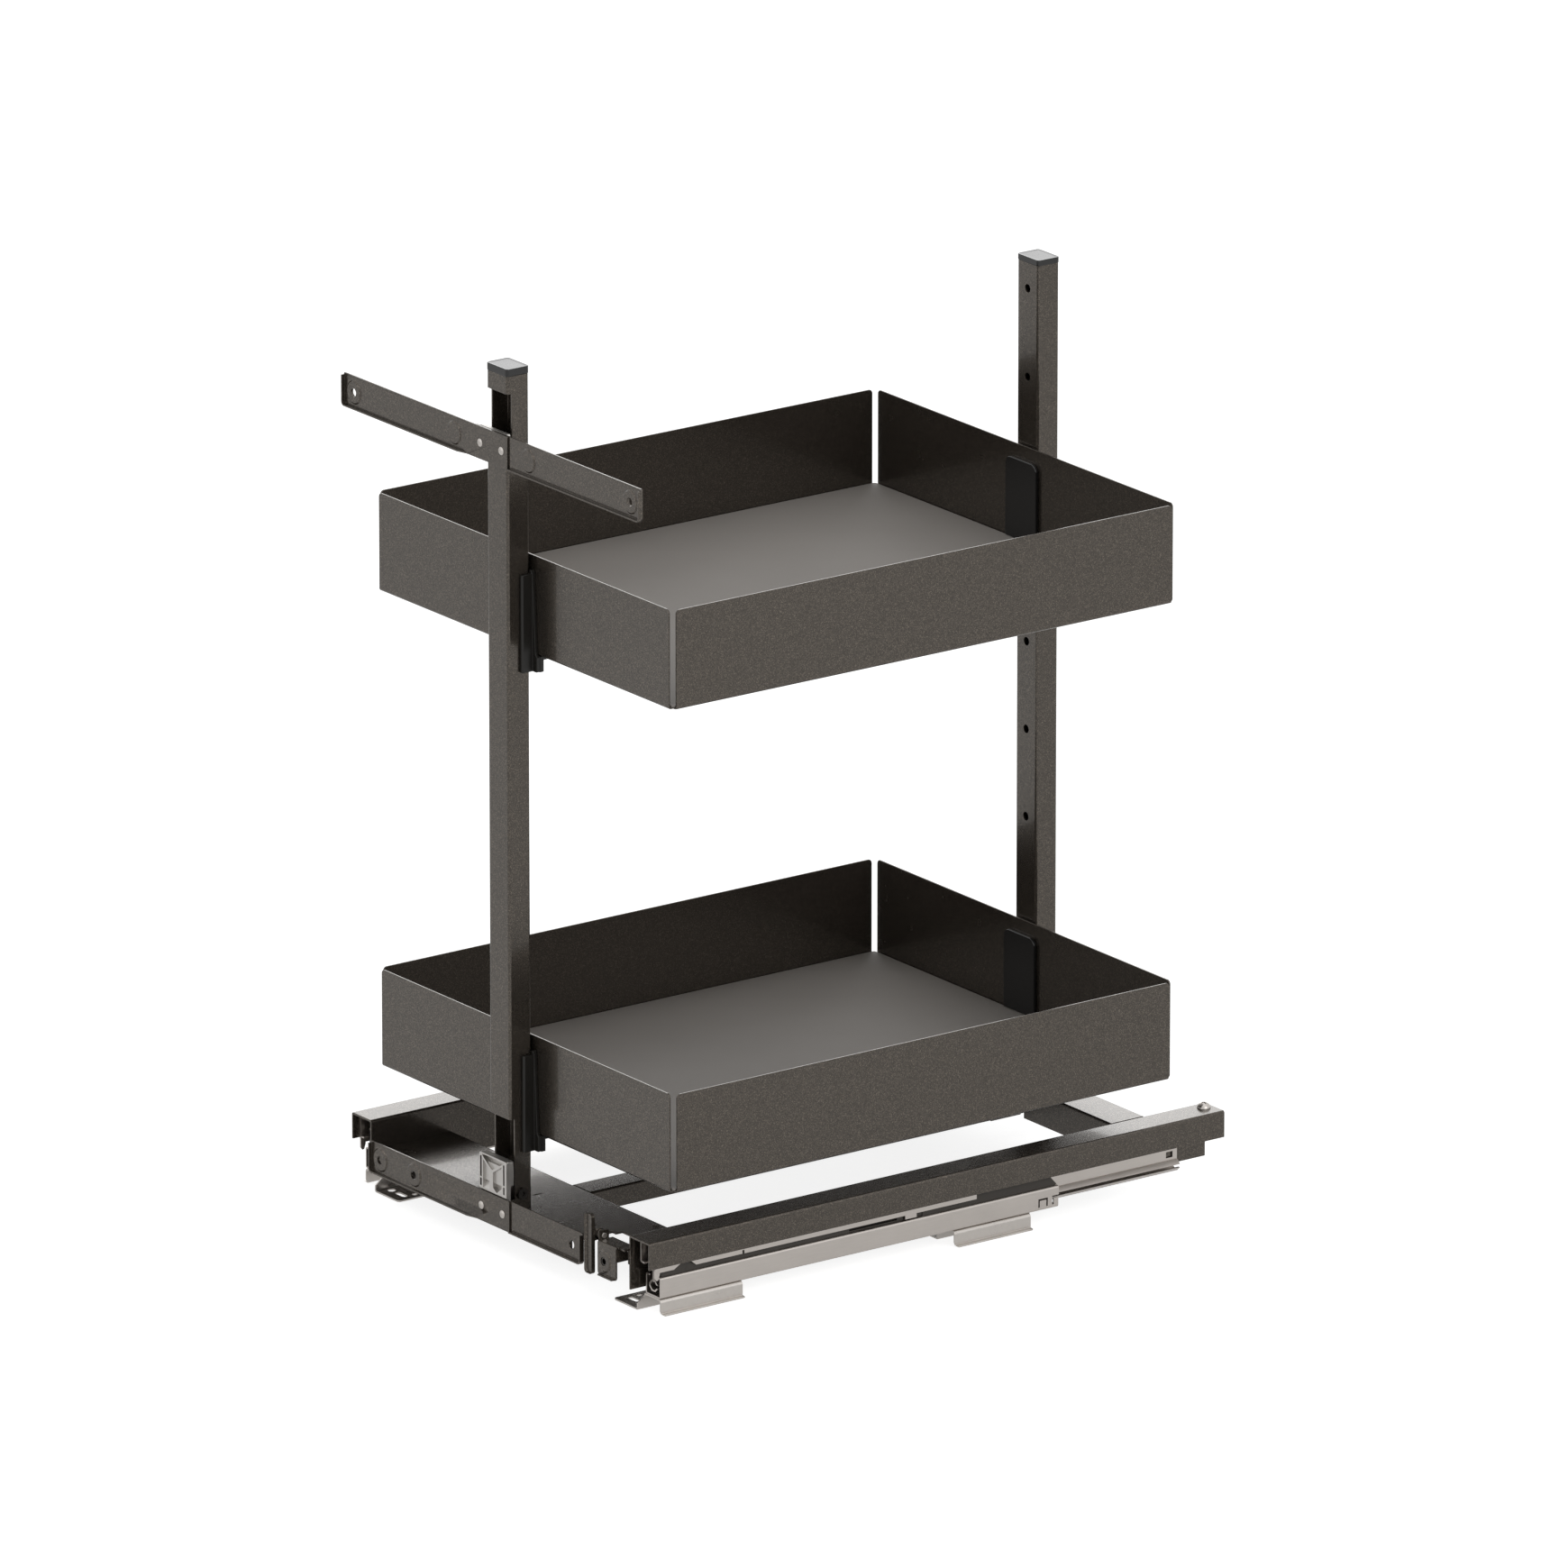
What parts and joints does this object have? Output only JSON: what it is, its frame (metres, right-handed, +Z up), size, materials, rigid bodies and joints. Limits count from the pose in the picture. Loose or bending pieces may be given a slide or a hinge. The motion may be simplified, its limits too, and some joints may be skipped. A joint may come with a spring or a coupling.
{
  "type": "pull out pantry frame",
  "caption": "Pull-out pantry frame: folded steel trays hung between a front and a rear post on a sliding base with full-extension ball runners, and bars that carry the door.",
  "frame": {"origin": "On the cabinet floor plane, at the centre of the rectangle of the floor slots", "axes": "X to the right as seen from the open front, Y towards the back of the cabinet, Z up; the carriage is closed"},
  "size_m": [0.3582, 0.5017, 0.6382],
  "materials": {
    "anthracite_steel": "anthracite powder coat, fine metallic fleck",
    "zinc_plated_steel": "bright zinc plate",
    "cast_zinc": "die-cast, satin",
    "black_plastic": "black, satin",
    "cage_plastic": "natural white",
    "ball_steel": "polished",
    "mat_rubber": "matt grey, fine grain"
  },
  "bodies": {
    "cabinet_side": {"left_front_bracket": "zinc_plated_steel", "left_rear_bracket": "zinc_plated_steel", "right_front_bracket": "zinc_plated_steel", "right_rear_bracket": "zinc_plated_steel", "left_cabinet_rail": "zinc_plated_steel", "right_cabinet_rail": "zinc_plated_steel", "left_damper": "black_plastic", "right_damper": "black_plastic"},
    "left_middle": {"left_middle_rail": "zinc_plated_steel"},
    "left_low_cage": {"left_lower_cage": "cage_plastic", "left_lower_balls": "ball_steel"},
    "left_high_cage": {"left_upper_cage": "cage_plastic", "left_upper_balls": "ball_steel"},
    "left_catch_slider": {"left_catch": "black_plastic"},
    "right_middle": {"right_middle_rail": "zinc_plated_steel"},
    "right_low_cage": {"right_lower_cage": "cage_plastic", "right_lower_balls": "ball_steel"},
    "right_high_cage": {"right_upper_cage": "cage_plastic", "right_upper_balls": "ball_steel"},
    "right_catch_slider": {"right_catch": "black_plastic"},
    "upper_door_bar": {"upper_left_arm": "anthracite_steel", "upper_right_arm": "anthracite_steel", "upper_slider": "cast_zinc", "upper_keeper": "zinc_plated_steel", "upper_rivets": "zinc_plated_steel"},
    "lower_door_bar": {"lower_left_arm": "anthracite_steel", "lower_right_arm": "anthracite_steel", "lower_slider": "cast_zinc", "lower_keeper": "zinc_plated_steel", "lower_rivets": "zinc_plated_steel"},
    "lever": {"release_lever": "anthracite_steel"},
    "side_screw": {"adjuster_screw": "zinc_plated_steel"},
    "carriage": {"left_drawer_rail": "zinc_plated_steel", "right_drawer_rail": "zinc_plated_steel", "left_cover": "anthracite_steel", "right_cover": "anthracite_steel", "cover_screws": "zinc_plated_steel", "front_cross_plate": "anthracite_steel", "centre_beam": "anthracite_steel", "rear_cross_member": "anthracite_steel", "front_post": "anthracite_steel", "rear_post": "anthracite_steel", "front_post_cap": "black_plastic", "rear_post_cap": "black_plastic", "front_post_socket": "zinc_plated_steel", "rear_post_socket": "zinc_plated_steel", "post_foot_screws": "zinc_plated_steel", "lower_tray": "anthracite_steel", "upper_tray": "anthracite_steel", "lower_mat": "mat_rubber", "upper_mat": "mat_rubber", "lower_front_holder": "black_plastic", "lower_rear_holder": "black_plastic", "upper_front_holder": "black_plastic", "upper_rear_holder": "black_plastic", "lower_clamp_plates": "black_plastic", "upper_clamp_plates": "black_plastic", "lever_pin": "zinc_plated_steel", "adjuster_bracket": "anthracite_steel", "adjuster_nut": "zinc_plated_steel"}
  },
  "joints": [
    {"name": "carriage_slide", "type": "slide", "parent": "cabinet_side", "child": "carriage", "axis": [0, -1, 0], "range_m": [0, 0.45]},
    {"name": "left_middle_slide", "type": "slide", "parent": "cabinet_side", "child": "left_middle", "axis": [0, -1, 0], "range_m": [0, 0.225]},
    {"name": "left_low_cage_slide", "type": "slide", "parent": "cabinet_side", "child": "left_low_cage", "axis": [0, -1, 0], "range_m": [0, 0.1125]},
    {"name": "left_high_cage_slide", "type": "slide", "parent": "left_middle", "child": "left_high_cage", "axis": [0, -1, 0], "range_m": [0, 0.1125]},
    {"name": "left_catch_slide", "type": "slide", "parent": "cabinet_side", "child": "left_catch_slider", "axis": [0, -1, 0], "range_m": [0, 0.04], "stiffness_N_per_m": 100, "springref_m": -0.01},
    {"name": "right_middle_slide", "type": "slide", "parent": "cabinet_side", "child": "right_middle", "axis": [0, -1, 0], "range_m": [0, 0.225]},
    {"name": "right_low_cage_slide", "type": "slide", "parent": "cabinet_side", "child": "right_low_cage", "axis": [0, -1, 0], "range_m": [0, 0.1125]},
    {"name": "right_high_cage_slide", "type": "slide", "parent": "right_middle", "child": "right_high_cage", "axis": [0, -1, 0], "range_m": [0, 0.1125]},
    {"name": "right_catch_slide", "type": "slide", "parent": "cabinet_side", "child": "right_catch_slider", "axis": [0, -1, 0], "range_m": [0, 0.04], "stiffness_N_per_m": 100, "springref_m": -0.01},
    {"name": "upper_bar_height", "type": "slide", "parent": "carriage", "child": "upper_door_bar", "axis": [0, 0, 1], "range_m": [-0.006, 0.006]},
    {"name": "lower_bar_height", "type": "slide", "parent": "carriage", "child": "lower_door_bar", "axis": [0, 0, 1], "range_m": [-0.006, 0.006]},
    {"name": "lever_pivot", "type": "hinge", "parent": "carriage", "child": "lever", "pos_m": [0.12, -0.1432, 0.0465], "axis": [1, 0, 0], "range_deg": [0, 12], "stiffness_Nm_per_rad": 0.05, "springref_deg": -5.73},
    {"name": "side_screw_turn", "type": "hinge", "parent": "carriage", "child": "side_screw", "pos_m": [0.1335, -0.15, 0.0311], "axis": [0, 1, 0], "continuous": true}
  ],
  "couplings": [
    {"joint": "left_middle_slide", "follows": "carriage_slide", "ratio": 0.5},
    {"joint": "left_low_cage_slide", "follows": "carriage_slide", "ratio": 0.25},
    {"joint": "left_high_cage_slide", "follows": "carriage_slide", "ratio": 0.25},
    {"joint": "right_middle_slide", "follows": "carriage_slide", "ratio": 0.5},
    {"joint": "right_low_cage_slide", "follows": "carriage_slide", "ratio": 0.25},
    {"joint": "right_high_cage_slide", "follows": "carriage_slide", "ratio": 0.25}
  ]
}
